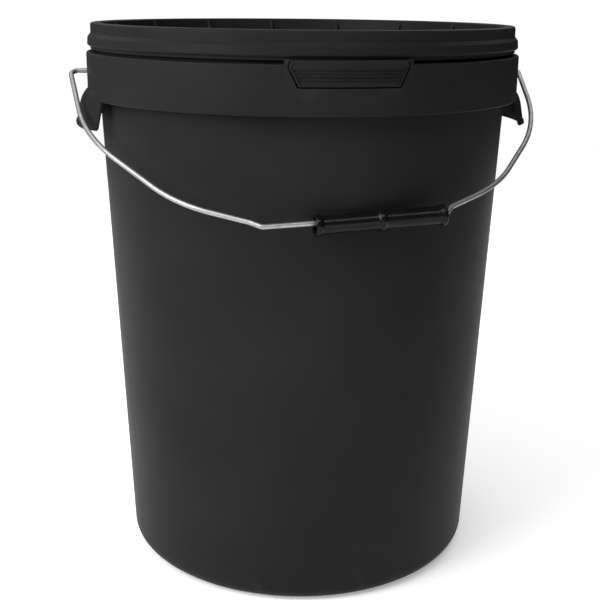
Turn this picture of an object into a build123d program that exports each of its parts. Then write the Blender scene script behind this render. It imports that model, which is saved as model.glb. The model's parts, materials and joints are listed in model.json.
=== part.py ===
from build123d import *
from math import atan2, cos, degrees, radians, sin, tan
import os

# Plastic fermenting bucket with a press-on lid, a tear tab and a wire bail with a plastic grip.
# Millimetres. +Z is up, the base rests on z = 0, and the bucket's axis is the Z axis.
# The tear tab faces -Y, and the bail pivots on +X and -X.
# The pail and its collar are one moulding, kept as two solids that meet on the wall's outer face.

# Pail body
BASE_RADIUS = 155.0
DRAFT = 2.476
WALL = 2.2
BASE_CORNER = 20.5
BASE_THICKNESS = 3.0
FOOT_RADIUS = 126.0
FOOT_RECESS = 3.0
BASE_RIBS = 12
BASE_RIB_WIDTH = 1.6
BASE_RIB_BOTTOM = 0.8
BASE_RING_RADIUS = 22.0
RIM_TOP = 459.8
RIM_BEAD_RADIUS = 176.2
RIM_BEAD_HEIGHT = 5.3

# Collar: the skirt that hangs from a flange round the top of the wall.
# Its hidden ribs are at these angles from the front, and leave room for the tab and the lugs.
COLLAR_RADIUS = 182.6
COLLAR_WALL = 2.0
COLLAR_TOP = 441.3
COLLAR_BOTTOM = 405.0
COLLAR_RIB = 1.6
COLLAR_RIB_RISE = 3.0
COLLAR_RIB_ANGLES = [16.5, 30, 45, 60, 120, 135, 150, 165, 180, 195, 210, 225, 240, 300, 315, 330, 343.5]

# Side lugs: finger grips that flare out of the collar's lower edge under each pivot.
# Heights and radii run down the outer face: flare start, shoulder arc, face and lip.
LUG_TOP = 411.5
LUG_SHOULDER_RADIUS = 187.0
LUG_SHOULDER = 405.8
LUG_FACE_RADIUS = 189.3
LUG_FACE_TOP = 400.0
LUG_FOOT_RADIUS = 191.3
LUG_FOOT = 387.6
LUG_LIP_RADIUS = 193.3
LUG_LIP_HEIGHT = 3.0
LUG_BOTTOM = 382.6
LUG_WALL = 2.2
LUG_HALF_ANGLE = 19.2
LUG_FACE_ANGLE = 15.6
LUG_EDGE_FLARE = 5.2
LUG_WEB_ANGLE = 8.0
LUG_WEB = 2.0
LUG_WEB_WALL_Z = 394.0
LUG_WEB_FOOT_Z = 385.5

# Tear tab: a piece of the collar with a scored outline, which is pulled out and down
TAB_TOP = 444.3
TAB_SHOULDER = 439.4
TAB_BOTTOM = 425.8
TAB_TOP_HALF = 41.8
TAB_SHOULDER_HALF = 43.6
TAB_BOTTOM_HALF = 36.5
TAB_INNER_RADIUS = 180.6
TAB_GAP = 0.7
TAB_GROOVES = [436.8, 434.5, 432.1, 429.8]
TAB_GROOVE_RADIUS = 0.6
TAB_BORDER = 1.5
TAB_BORDER_GROOVE = 0.6
TAB_BORDER_DEPTH = 0.5
TAB_SECTOR = 20.0
TAB_POST_ANGLE = 14.8
TAB_POST_TOP = 444.9
TAB_POST_PROUD = 0.2
WINDOW_INNER = 179.0
WINDOW_OUTER = 190.0
WINDOW_TOP = 450.0

# Lid
LID_TOP = 464.5
LID_RADIUS = 178.5
LID_STEP = 456.3
LID_BAND_RADIUS = 181.5
LID_BAND_BOTTOM = 446.2
LID_SKIRT_BOTTOM = 443.6
LID_RECESS_TOP_RADIUS = 169.5
LID_RECESS_FOOT_RADIUS = 168.2
LID_PLUG_TOP_RADIUS = 171.6
LID_PLUG_FOOT_RADIUS = 170.4
LID_PANEL = 446.6
LID_PLATEAU = 450.6
LID_PLATEAU_RADIUS = 146.0
LID_PLATEAU_SLOPE = 4.0
LID_WALL = 2.2
LID_GUSSETS = 16
LID_GUSSET_WIDTH = 1.8
LID_GUSSET_DROP = 1.8
LID_GUSSET_REACH = 7.5
SEAL_INNER = 172.4
SEAL_OUTER = 176.2
CHANNEL_TOP = 462.2

# Airlock grommet
GROMMET_Y = 75.0
GROMMET_HOLE = 6.35
GROMMET_BORE = 4.5
GROMMET_FLANGE = 9.5
GROMMET_LIP = 2.1

# Bail: one bent wire. Its corners are given in its own plane as
# (distance across, distance from the pivot axis, bend radius), from the left end to the right.
WIRE = 4.0
PIVOT_Z = 425.5
BAIL_REST = 61.5
BAIL_HALF_WIDTH = 196.2
BAIL_CORNERS = [
    (-BAIL_HALF_WIDTH, 0.0, 6.0),
    (-185.5, 93.0, 132.0),
    (-122.0, 177.0, 215.0),
    (-70.5, 200.0, 6.0),
    (-62.5, 205.4, 6.0),
    (78.0, 196.3, 4.0),
    (83.5, 188.8, 4.0),
    (129.0, 163.6, 225.0),
    (187.2, 83.5, 165.0),
    (BAIL_HALF_WIDTH, 0.0, 6.0),
]
GRIP_CORNERS = (4, 5)
PIVOT_CLEARANCE = 0.08
PIVOT_BOSS_RADIUS = 6.5
PIVOT_BOSS_INNER = 176.6
WIRE_HEAD_RADIUS = 3.4
WIRE_HEAD = 1.8
WIRE_HEAD_PLAY = 0.4

# Grip: a hollow sleeve that turns on the straight part of the wire. It is loose on the wire,
# so it hangs a little below it (away from the pivots, towards the wall) and tilts.
GRIP_LENGTH = 101.5
GRIP_RADIUS = 7.0
GRIP_FLANGE = 8.3
GRIP_FLANGE_LENGTH = 3.2
GRIP_TAPER = 2.2
GRIP_BEAD = 8.4
GRIP_BEAD_HALF = 1.6
GRIP_BEAD_SLOPE = 1.8
GRIP_BORE = 4.2
GRIP_RECESS_RADIUS = 6.0
GRIP_RECESS = 5.0
GRIP_CENTRE_X = 26.4
GRIP_HANG = (1.0, 0.8)
GRIP_TILT = 1.0

FULL_TURN = 360.0
FRONT = -90.0


def wall_radius(z):
    """Outer radius of the tapered wall at height z."""
    return BASE_RADIUS + z * tan(radians(DRAFT))


def outline(points, rounds=()):
    """Closed face in the XZ plane from (r, z) points; rounds are (r, z, radius) corners."""
    face = make_face(Plane.XZ * Polyline(*points, close=True))
    for r, z, radius in rounds:
        corner = face.vertices().sort_by_distance(Vector(r, 0, z))[0]
        face = fillet(corner, radius)
    return face


def ring(points, rounds=()):
    """Solid of revolution about Z from a closed (r, z) outline."""
    return revolve(outline(points, rounds), Axis.Z, FULL_TURN)


def sector(face, centre_angle, half_angle):
    """Turn an outline in the XZ plane about Z, through half_angle each side of centre_angle."""
    start = Rot(0, 0, centre_angle - half_angle) * face
    return revolve(start, Axis.Z, 2 * half_angle)


def radial_plate(points, angle, thickness):
    """Flat upright plate from an (r, z) outline, standing at an angle about Z."""
    plate = extrude(outline(points), thickness / 2, both=True)
    return Rot(0, 0, angle) * plate


# ---------------------------------------------------------------- pail


def pail_shell():
    """Wall, base and rim bead."""
    inner_base = FOOT_RECESS + BASE_THICKNESS
    rim = wall_radius(COLLAR_TOP)
    bead_bottom = RIM_TOP - RIM_BEAD_HEIGHT
    points = [
        (0, FOOT_RECESS),
        (FOOT_RADIUS - FOOT_RECESS, FOOT_RECESS),
        (FOOT_RADIUS, 0),
        (BASE_RADIUS, 0),
        (rim, COLLAR_TOP),
        (rim, bead_bottom - 2),
        (RIM_BEAD_RADIUS, bead_bottom),
        (RIM_BEAD_RADIUS, RIM_TOP),
        (rim - WALL, RIM_TOP),
        (rim - WALL, COLLAR_TOP),
        (wall_radius(inner_base) - WALL, inner_base),
        (0, inner_base),
    ]
    rounds = [
        (BASE_RADIUS, 0, BASE_CORNER),
        (wall_radius(inner_base) - WALL, inner_base, BASE_CORNER - BASE_THICKNESS),
        (RIM_BEAD_RADIUS, RIM_TOP, 1.2),
        (rim - WALL, RIM_TOP, 0.8),
    ]
    return ring(points, rounds)


def collar():
    """Flange and hanging skirt, with a rounded top edge and a softened lower edge."""
    inside = COLLAR_RADIUS - COLLAR_WALL
    wall_inside = wall_radius(COLLAR_BOTTOM) - WALL / 2
    under = COLLAR_TOP - COLLAR_WALL
    root = wall_radius(under) - WALL / 2
    points = [
        (root, COLLAR_TOP),
        (COLLAR_RADIUS, COLLAR_TOP),
        (COLLAR_RADIUS, COLLAR_BOTTOM),
        (inside, COLLAR_BOTTOM),
        (inside, under),
        (root, under),
    ]
    rounds = [(COLLAR_RADIUS, COLLAR_TOP, 1.4), (COLLAR_RADIUS, COLLAR_BOTTOM, 0.8)]
    body = ring(points, rounds)
    low, high = COLLAR_BOTTOM + COLLAR_RIB_RISE, COLLAR_TOP - COLLAR_WALL / 2
    middle = COLLAR_RADIUS - COLLAR_WALL / 2
    rib = [(wall_inside, low), (middle, low), (middle, high), (root, high)]
    for angle in COLLAR_RIB_ANGLES:
        body += radial_plate(rib, angle + FRONT, COLLAR_RIB)
    return body


def lug_facet_plane(side, inset):
    """Plane that slants the lug's front (-1) or rear (+1) end; its normal points away from the lug."""

    def at(radius, angle, z):
        turn = radians(angle)
        return Vector(radius * cos(turn), side * radius * sin(turn), z)

    edge_top = at(COLLAR_RADIUS, LUG_HALF_ANGLE, COLLAR_BOTTOM)
    edge_low = at(COLLAR_RADIUS + LUG_EDGE_FLARE, LUG_HALF_ANGLE, LUG_BOTTOM)
    face_low = at(LUG_FOOT_RADIUS, LUG_FACE_ANGLE, LUG_BOTTOM)
    normal = (edge_low - edge_top).cross(face_low - edge_top).normalized()
    if normal.X < 0:
        normal = normal * -1
    return Plane(origin=edge_top - normal * inset, z_dir=normal)


def lug_block(points, shoulder, half_angle, inset):
    """Sector of a flared (r, z) outline with both ends slanted; shoulder is on its upper arc."""
    edges = Polyline(*points) + ThreePointArc(points[-1], shoulder, points[0])
    face = make_face(Plane.XZ * edges)
    block = sector(face, 0, half_angle)
    for side in (-1, 1):
        block = split(block, bisect_by=lug_facet_plane(side, inset), keep=Keep.BOTTOM)
    return block


def lug_outside():
    """The lug filled in, from just inside the collar's face out to the lip."""
    root = COLLAR_RADIUS - 1.5
    lip_round = 1.2
    points = [
        (LUG_FACE_RADIUS, LUG_FACE_TOP),
        (LUG_FOOT_RADIUS, LUG_FOOT),
        (LUG_LIP_RADIUS, LUG_BOTTOM + LUG_LIP_HEIGHT),
        (LUG_LIP_RADIUS, LUG_BOTTOM + lip_round),
        (LUG_LIP_RADIUS - lip_round, LUG_BOTTOM),
        (root, LUG_BOTTOM),
        (root, LUG_TOP),
        (COLLAR_RADIUS - 0.1, LUG_TOP),
    ]
    return lug_block(points, (LUG_SHOULDER_RADIUS, LUG_SHOULDER), LUG_HALF_ANGLE, 0)


def lug_hollow():
    """The finger space inside the lug, open below."""
    root = COLLAR_RADIUS - 2 * COLLAR_WALL
    roof = LUG_TOP - LUG_WALL
    below = LUG_BOTTOM - 1
    overrun = 2.0
    points = [
        (LUG_FACE_RADIUS - LUG_WALL, LUG_FACE_TOP),
        (LUG_FOOT_RADIUS - LUG_WALL, LUG_FOOT),
        (LUG_FOOT_RADIUS - LUG_WALL, below),
        (root, below),
        (root, roof),
        (COLLAR_RADIUS - 1.8, roof),
    ]
    shoulder = (LUG_SHOULDER_RADIUS - 2.1, LUG_SHOULDER - 1.2)
    return lug_block(points, shoulder, LUG_HALF_ANGLE + overrun, LUG_WALL)


def lug_webs():
    """Upright webs that tie the lug back to the wall, and the boss round the pivot hole."""
    inside = COLLAR_RADIUS - COLLAR_WALL / 2
    edge = LUG_FACE_RADIUS - LUG_WALL / 2
    web = [
        (wall_radius(LUG_WEB_WALL_Z) - WALL / 2, LUG_WEB_WALL_Z),
        (edge, LUG_WEB_FOOT_Z),
        (edge, LUG_FACE_TOP - 1),
        (inside, LUG_TOP - LUG_WALL),
        (inside, COLLAR_TOP - 1),
        (wall_radius(COLLAR_TOP) - WALL / 2, COLLAR_TOP - 1),
    ]
    webs = radial_plate(web, LUG_WEB_ANGLE, LUG_WEB) + radial_plate(web, -LUG_WEB_ANGLE, LUG_WEB)
    boss = extrude(Circle(PIVOT_BOSS_RADIUS), inside - PIVOT_BOSS_INNER)
    return webs + Pos(PIVOT_BOSS_INNER, 0, PIVOT_Z) * Rot(0, 90, 0) * boss


def add_lug(skirt, turn):
    """Add one lug with its webs and drill the pivot hole; turn is 0 for +X and 180 for -X."""
    skirt += Rot(0, 0, turn) * lug_outside()
    skirt -= Rot(0, 0, turn) * lug_hollow()
    skirt += Rot(0, 0, turn) * lug_webs()
    hole = extrude(Circle(WIRE / 2 + PIVOT_CLEARANCE), COLLAR_RADIUS)
    hole = Pos(PIVOT_BOSS_INNER - 1, 0, PIVOT_Z) * Rot(0, 90, 0) * hole
    return skirt - Rot(0, 0, turn) * hole


def tab_prism(grow, top):
    """Prism along -Y with the tab's six-sided front outline, grown by grow and cut off at top."""
    near, depth = 150.0, 60.0
    lean = (TAB_SHOULDER_HALF - TAB_TOP_HALF) / (TAB_TOP - TAB_SHOULDER)
    top_half = TAB_TOP_HALF - lean * (top - TAB_TOP) + grow
    low = TAB_BOTTOM - grow
    points = [
        (-TAB_BOTTOM_HALF - grow, low),
        (TAB_BOTTOM_HALF + grow, low),
        (TAB_SHOULDER_HALF + grow, TAB_SHOULDER),
        (top_half, top),
        (-top_half, top),
        (-TAB_SHOULDER_HALF - grow, TAB_SHOULDER),
    ]
    front = make_face(Plane.XZ * Polyline(*points, close=True))
    return Pos(0, -near, 0) * extrude(front, depth)


def tab_posts():
    """Upstand on the collar's top edge; the window leaves a post of it at each end of the tab."""
    outer = COLLAR_RADIUS + TAB_POST_PROUD
    inner = outer - COLLAR_WALL
    low = COLLAR_TOP - 1
    points = [(inner, low), (outer, low), (outer, TAB_POST_TOP), (inner, TAB_POST_TOP)]
    return sector(outline(points, [(outer, TAB_POST_TOP, 0.6)]), FRONT, TAB_POST_ANGLE)


def tab_window():
    """Cutter for the opening in the collar that the tab fills."""
    low = TAB_BOTTOM - 5
    points = [
        (WINDOW_INNER, low),
        (WINDOW_OUTER, low),
        (WINDOW_OUTER, WINDOW_TOP),
        (WINDOW_INNER, WINDOW_TOP),
    ]
    return sector(outline(points), FRONT, TAB_SECTOR) & tab_prism(TAB_GAP, WINDOW_TOP)


def base_ribs():
    """Shallow radial ribs and a centre ring under the base, clear of the ground."""
    half = BASE_RIB_WIDTH / 2
    outer = FOOT_RADIUS - FOOT_RECESS
    low, high = BASE_RIB_BOTTOM, FOOT_RECESS + 0.5
    inner, middle = BASE_RING_RADIUS - half, BASE_RING_RADIUS + half
    ribs = ring([(inner, low), (middle, low), (middle, high), (inner, high)])
    plate = [(BASE_RING_RADIUS, low), (outer, low), (outer, high), (BASE_RING_RADIUS, high)]
    for index in range(BASE_RIBS):
        ribs += radial_plate(plate, index * FULL_TURN / BASE_RIBS, BASE_RIB_WIDTH)
    return ribs


def wall_core():
    """Everything inside the wall's outer face, from the base to the top of the collar."""
    return ring([(0, 0), (BASE_RADIUS, 0), (wall_radius(COLLAR_TOP), COLLAR_TOP), (0, COLLAR_TOP)])


def make_pail():
    """Wall, base and rim."""
    return pail_shell() + base_ribs()


def make_pail_collar():
    """Collar with its lugs, pivots and the window for the tear tab."""
    skirt = collar() + tab_posts()
    skirt = add_lug(skirt, 0)
    skirt = add_lug(skirt, 180)
    return skirt - tab_window() - wall_core()


# ---------------------------------------------------------------- tear tab


def tab_groove(radius, z):
    """Round cutter for one groove across the tab's face, at height z."""
    section = make_face(Plane.XZ * Circle(TAB_GROOVE_RADIUS).edge())
    return sector(Pos(radius, 0, z) * section, FRONT, TAB_SECTOR)


def make_tear_tab():
    """Tab with an outward lip at the top, grip grooves and a scored line along its slanted ends."""
    foot_radius, swell_radius = 182.7, 184.0
    waist_radius, lip_radius = 182.9, 184.8
    foot_top = TAB_BOTTOM + 2.6
    points = [
        (TAB_INNER_RADIUS, TAB_BOTTOM),
        (foot_radius, TAB_BOTTOM),
        (swell_radius, foot_top),
        (waist_radius, TAB_SHOULDER),
        (lip_radius, TAB_TOP - 0.6),
        (lip_radius - 0.5, TAB_TOP),
        (TAB_INNER_RADIUS + 1.0, TAB_TOP),
        (TAB_INNER_RADIUS, TAB_TOP - 1.2),
    ]
    tab = sector(outline(points), FRONT, TAB_SECTOR) & tab_prism(0, TAB_TOP)
    slope = (swell_radius - waist_radius) / (TAB_SHOULDER - foot_top)
    border_inner = TAB_BORDER + TAB_BORDER_GROOVE
    field = tab_prism(-border_inner - 0.1, TAB_TOP)
    for z in TAB_GROOVES:
        face_radius = swell_radius - slope * (z - foot_top)
        tab -= tab_groove(face_radius, z) & field
    border = tab_prism(-TAB_BORDER, TAB_TOP) - tab_prism(-border_inner, TAB_TOP)
    border_top = TAB_SHOULDER - 0.5
    strip = [
        (swell_radius - TAB_BORDER_DEPTH, foot_top),
        (swell_radius + 1, foot_top),
        (waist_radius + 1, border_top),
        (waist_radius - TAB_BORDER_DEPTH, border_top),
    ]
    return tab - (sector(outline(strip), FRONT, TAB_SECTOR) & border)


# ---------------------------------------------------------------- lid


def lid_shell():
    """The lid without its gussets: plateau, panel, recess wall, rim, band and skirt."""
    panel_under = LID_PANEL - LID_WALL
    plateau_under = LID_PLATEAU - LID_WALL
    slope_start = LID_PLATEAU_RADIUS - LID_PLATEAU_SLOPE
    under_shift = 1.2
    skirt_outer, skirt_inner = LID_RADIUS + 0.5, LID_RADIUS - 1.3
    band_inner = LID_BAND_RADIUS - 2.2
    channel_outer = LID_RADIUS - 1.8
    points = [
        (0, LID_PLATEAU),
        (slope_start, LID_PLATEAU),
        (LID_PLATEAU_RADIUS, LID_PANEL),
        (LID_RECESS_FOOT_RADIUS, LID_PANEL),
        (LID_RECESS_TOP_RADIUS, LID_TOP),
        (LID_RADIUS, LID_TOP),
        (LID_RADIUS, LID_STEP),
        (LID_BAND_RADIUS - 0.5, LID_STEP - 3.1),
        (LID_BAND_RADIUS, LID_BAND_BOTTOM + 1.2),
        (LID_BAND_RADIUS - 1.1, LID_BAND_BOTTOM),
        (skirt_outer, LID_BAND_BOTTOM),
        (skirt_outer, LID_SKIRT_BOTTOM),
        (skirt_inner, LID_SKIRT_BOTTOM),
        (skirt_inner, LID_BAND_BOTTOM + 0.8),
        (band_inner, LID_BAND_BOTTOM + 2.4),
        (band_inner, LID_STEP - 4.0),
        (channel_outer, LID_STEP - 0.8),
        (channel_outer, CHANNEL_TOP),
        (LID_PLUG_TOP_RADIUS, CHANNEL_TOP),
        (LID_PLUG_FOOT_RADIUS, panel_under),
        (LID_PLATEAU_RADIUS - under_shift, panel_under),
        (slope_start - under_shift, plateau_under),
        (0, plateau_under),
    ]
    rounds = [
        (LID_RADIUS, LID_TOP, 1.8),
        (LID_RECESS_TOP_RADIUS, LID_TOP, 1.6),
        (LID_RECESS_FOOT_RADIUS, LID_PANEL, 2.0),
        (LID_PLUG_FOOT_RADIUS, panel_under, 3.5),
    ]
    return ring(points, rounds)


def lid_gusset():
    """(r, z) outline of one gusset, which stands in the corner between the panel and the wall."""
    top = LID_TOP - LID_GUSSET_DROP
    toe = LID_RECESS_FOOT_RADIUS - LID_GUSSET_REACH
    buried = LID_PANEL - 1
    return [
        (LID_RECESS_FOOT_RADIUS + 1.6, buried),
        (LID_RECESS_TOP_RADIUS + 0.8, top),
        (LID_RECESS_TOP_RADIUS - 0.7, top),
        (toe, LID_PANEL + 1.5),
        (toe, buried),
    ]


def make_lid():
    """Lid with an outer skirt over the rim, a recessed panel and gussets round the recess."""
    lid = lid_shell()
    for index in range(LID_GUSSETS):
        angle = index * FULL_TURN / LID_GUSSETS - FRONT
        lid += radial_plate(lid_gusset(), angle, LID_GUSSET_WIDTH)
    drill = extrude(Circle(GROMMET_HOLE), LID_WALL + 2)
    return lid - Pos(0, GROMMET_Y, LID_PLATEAU - LID_WALL - 1) * drill


def make_lid_seal():
    """Flat rubber ring in the top of the lid's channel, on the pail's rim."""
    points = [
        (SEAL_INNER, RIM_TOP),
        (SEAL_OUTER, RIM_TOP),
        (SEAL_OUTER, CHANNEL_TOP),
        (SEAL_INNER, CHANNEL_TOP),
    ]
    return ring(points)


def make_airlock_grommet():
    """Rubber grommet: a groove round the lid panel and a bore for an airlock stem."""
    under = LID_PLATEAU - LID_WALL - GROMMET_LIP
    top = LID_PLATEAU + GROMMET_LIP
    points = [
        (GROMMET_BORE, under),
        (GROMMET_FLANGE - 1, under),
        (GROMMET_FLANGE - 1, LID_PLATEAU - LID_WALL),
        (GROMMET_HOLE, LID_PLATEAU - LID_WALL),
        (GROMMET_HOLE, LID_PLATEAU),
        (GROMMET_FLANGE, LID_PLATEAU),
        (GROMMET_FLANGE, top),
        (GROMMET_BORE, top),
    ]
    rounds = [(GROMMET_FLANGE, top, 0.8), (GROMMET_FLANGE - 1, under, 0.8)]
    return Pos(0, GROMMET_Y, 0) * ring(points, rounds)


# ---------------------------------------------------------------- bail and grip


def bail_plane():
    """The bail's plane at rest: its X is across the pail and its Y runs away from the pivot axis."""
    lean = radians(BAIL_REST)
    return Plane(origin=(0, 0, PIVOT_Z), x_dir=(1, 0, 0), z_dir=(0, cos(lean), -sin(lean)))


def make_bail_wire():
    """Round wire swept along its bends, with an upset head inside the collar at each end."""
    head_outer = PIVOT_BOSS_INNER - WIRE_HEAD_PLAY
    head_inner = head_outer - WIRE_HEAD
    points = [(-head_inner, 0)] + [(x, y) for x, y, _ in BAIL_CORNERS] + [(head_inner, 0)]
    path = FilletPolyline(*points, radius=[radius for _, _, radius in BAIL_CORNERS])
    section = Plane(origin=(-head_inner, 0, 0), z_dir=(-1, 0, 0)) * Circle(WIRE / 2)
    wire = sweep(section, path=path)
    head = extrude(Plane.YZ * Circle(WIRE_HEAD_RADIUS), WIRE_HEAD)
    wire += Pos(head_inner, 0, 0) * head + Pos(-head_outer, 0, 0) * head
    return bail_plane() * wire


def grip_frame():
    """Location of the grip's centre, with local Z along the grip."""
    away, inward = GRIP_HANG
    first, last = [BAIL_CORNERS[index] for index in GRIP_CORNERS]
    rise = (last[1] - first[1]) / (last[0] - first[0])
    centre_y = first[1] + rise * (GRIP_CENTRE_X - first[0])
    turn = degrees(atan2(last[1] - first[1], last[0] - first[0])) - GRIP_TILT
    return bail_plane() * Pos(GRIP_CENTRE_X, centre_y + away, inward) * Rot(0, 0, turn) * Rot(0, 90, 0)


def make_bail_grip():
    """Hollow sleeve with a flange at each end, a bead in the middle and open end recesses."""
    half = GRIP_LENGTH / 2
    neck = half - GRIP_FLANGE_LENGTH
    bead, slope = GRIP_BEAD_HALF, GRIP_BEAD_SLOPE
    points = [
        (GRIP_BORE, -half + GRIP_RECESS),
        (GRIP_RECESS_RADIUS, -half + GRIP_RECESS),
        (GRIP_RECESS_RADIUS, -half),
        (GRIP_FLANGE, -half),
        (GRIP_FLANGE, -neck),
        (GRIP_RADIUS, -neck + GRIP_TAPER),
        (GRIP_RADIUS, -bead - slope),
        (GRIP_BEAD, -bead),
        (GRIP_BEAD, bead),
        (GRIP_RADIUS, bead + slope),
        (GRIP_RADIUS, neck - GRIP_TAPER),
        (GRIP_FLANGE, neck),
        (GRIP_FLANGE, half),
        (GRIP_RECESS_RADIUS, half),
        (GRIP_RECESS_RADIUS, half - GRIP_RECESS),
        (GRIP_BORE, half - GRIP_RECESS),
    ]
    rounds = [
        (GRIP_FLANGE, -half, 1.0),
        (GRIP_FLANGE, -neck, 1.0),
        (GRIP_FLANGE, neck, 1.0),
        (GRIP_FLANGE, half, 1.0),
    ]
    return grip_frame() * ring(points, rounds)


NODES = {
    "pail": make_pail,
    "pail_collar": make_pail_collar,
    "tear_tab": make_tear_tab,
    "lid": make_lid,
    "lid_seal": make_lid_seal,
    "airlock_grommet": make_airlock_grommet,
    "bail_wire": make_bail_wire,
    "bail_grip": make_bail_grip,
}

os.makedirs("parts", exist_ok=True)
for name, make in NODES.items():
    export_step(make(), f"parts/{name}.step")
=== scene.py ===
import json
from math import atan2, cos, pi, radians, sin, tan

import bmesh
import bpy
import numpy as np
from mathutils import Matrix, Vector


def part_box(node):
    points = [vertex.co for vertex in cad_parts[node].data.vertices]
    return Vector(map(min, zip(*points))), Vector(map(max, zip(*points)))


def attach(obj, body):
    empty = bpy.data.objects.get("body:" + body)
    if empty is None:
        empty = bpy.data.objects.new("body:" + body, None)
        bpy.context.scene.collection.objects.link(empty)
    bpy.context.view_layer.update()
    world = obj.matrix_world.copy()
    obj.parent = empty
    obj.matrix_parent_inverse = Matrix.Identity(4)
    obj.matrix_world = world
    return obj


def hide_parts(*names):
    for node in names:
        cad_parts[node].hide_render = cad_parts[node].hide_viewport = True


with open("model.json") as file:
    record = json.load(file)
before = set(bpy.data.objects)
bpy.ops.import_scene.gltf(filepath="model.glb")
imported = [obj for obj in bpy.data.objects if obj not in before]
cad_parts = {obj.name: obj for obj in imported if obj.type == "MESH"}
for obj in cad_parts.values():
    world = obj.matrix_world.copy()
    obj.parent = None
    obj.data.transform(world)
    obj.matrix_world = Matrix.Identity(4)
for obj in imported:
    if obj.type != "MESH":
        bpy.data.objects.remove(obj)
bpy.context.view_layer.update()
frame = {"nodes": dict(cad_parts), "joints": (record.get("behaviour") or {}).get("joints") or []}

# Looks of a plastic fermenting bucket. Sizes are in millimetres, as the part is drawn,
# and mesh_object() turns them into metres. +Z is up, the tear tab faces -Y and the bail
# pivots on +X and -X.
MM = 0.001


def box_mm(node):
    """Lowest and highest corner of a CAD node, in millimetres."""
    low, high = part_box(node)
    return low / MM, high / MM


def joint(name):
    """The record's joint of that name."""
    return next(j for j in frame["joints"] if j["name"] == name)


# Sizes read from the frame
PAIL_HIGH = box_mm("pail")[1]
COLLAR_LOW, COLLAR_HIGH = box_mm("pail_collar")
LID_LOW, LID_HIGH = box_mm("lid")
TAB_LOW, TAB_HIGH = box_mm("tear_tab")
GROMMET_LOW, GROMMET_HIGH = box_mm("airlock_grommet")
RIM_TOP = PAIL_HIGH.z
RIM_RADIUS = PAIL_HIGH.x
LUG_LIP_RADIUS = COLLAR_HIGH.x
LUG_BOTTOM = COLLAR_LOW.z
COLLAR_RADIUS = COLLAR_HIGH.y
LID_TOP = LID_HIGH.z
LID_BAND_RADIUS = LID_HIGH.x
TAB_TOP = TAB_HIGH.z
TAB_BOTTOM = TAB_LOW.z
TAB_LIP_RADIUS = -TAB_LOW.y
GROMMET_Y = (GROMMET_LOW.y + GROMMET_HIGH.y) / 2
GROMMET_FLANGE = (GROMMET_HIGH.x - GROMMET_LOW.x) / 2
PIVOT_Z = joint("bail_swing")["pos_m"][2] / MM
GRIP_CENTRE = Vector(joint("grip_spin")["pos_m"]) / MM
GRIP_AXIS = Vector(joint("grip_spin")["axis"])

# Pail wall and base
BASE_RADIUS = 155.0
DRAFT = 2.476
WALL = 2.2
FOOT_RADIUS = 126.0
FOOT_RECESS = 3.0
BASE_INSIDE = 6.0
BASE_CORNER = 20.5
COLLAR_TOP = 441.3
COLLAR_BOTTOM = 405.0
COLLAR_WALL = 2.0
COLLAR_ROOT = 173.4
PART_SEGMENTS = 480
BASE_RING_RADIUS = 22.0
BASE_RING_WIDTH = 1.6
BASE_RIB_BOTTOM = 0.8
BASE_RIB_COUNT = 12
RIB_THICKNESS = 1.6
RIB_ANGLES = [16.5, 30, 45, 60, 120, 135, 150, 165, 180, 195, 210, 225, 240, 300, 315, 330, 343.5]

# Side lugs
LUG_TOP = 411.5
LUG_WALL = 2.2
LUG_HALF_ANGLE = 19.2
LUG_FACE_ANGLE = 15.6
LUG_FAN_ANGLE = 13.5
LUG_FOOT_RADIUS = 191.3
LUG_EDGE_FLARE = 5.2
LUG_ROOT_RADIUS = 182.5
LUG_SHOULDER = (187.0, 405.8)
LUG_FACE_TOP = (189.3, 400.0)
LUG_FACE_BOTTOM = 387.6
LUG_LIP_TOP = 385.6
LUG_EDGE = 0.8
LUG_REACH_ANGLE = 40
WEB_ANGLES = (8, -8, 172, 188)
WEB_THICKNESS = 2.0
WEB_RADIUS = 188.0
WEB_WALL_BOTTOM = 394.0
WEB_FOOT = 385.5

# Pivot holes and their bosses
PIVOT_HOLE = 2.08
PIVOT_BOSS_RADIUS = 6.5
PIVOT_BOSS_X = 176.6
PIVOT_BOSS_LENGTH = 5.0

# Tear tab and its window
TAB_SHOULDER = 439.4
TAB_TOP_HALF = 41.8
TAB_BOTTOM_HALF = 36.5
TAB_SHOULDER_HALF = TAB_HIGH.x
TAB_GAP = 1.0
TAB_GROOVES = [(436.8, 0.95), (434.5, 0.7), (432.1, 1.0), (429.8, 0.7)]
TAB_SCORE_IN = 2.1
TAB_SCORE_HALF = 0.6
TAB_SCORE = 0.9
TAB_EDGE = 0.4
TAB_INNER_RADIUS = 180.6
TAB_FOOT_RADIUS = 182.7
TAB_SWELL_RADIUS = 184.0
TAB_SWELL = 2.6
TAB_SHOULDER_RADIUS = 182.9
TAB_CORNER = 0.9
POST_HALF_ANGLE = 14.8

# Lid
LID_RADIUS = 178.5
LID_STEP = 456.3
LID_BAND_BOTTOM = 446.2
LID_PANEL = 446.6
LID_PLATEAU = 450.6
LID_PLATEAU_RADIUS = 146.0
LID_WALL = 2.2
LID_GUSSETS = 16
GUSSET_THICKNESS = 1.8
GUSSET_REACH = 160.7
RECESS_TOP_RADIUS = 169.5
RECESS_FOOT_RADIUS = 168.2
PLUG_TOP_RADIUS = 171.6
PLUG_FOOT_RADIUS = 170.4
PLATEAU_SLOPE = 4.0
CHANNEL_TOP = 462.2
GROMMET_HOLE = 6.35
GROMMET_BORE = 4.5

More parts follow.
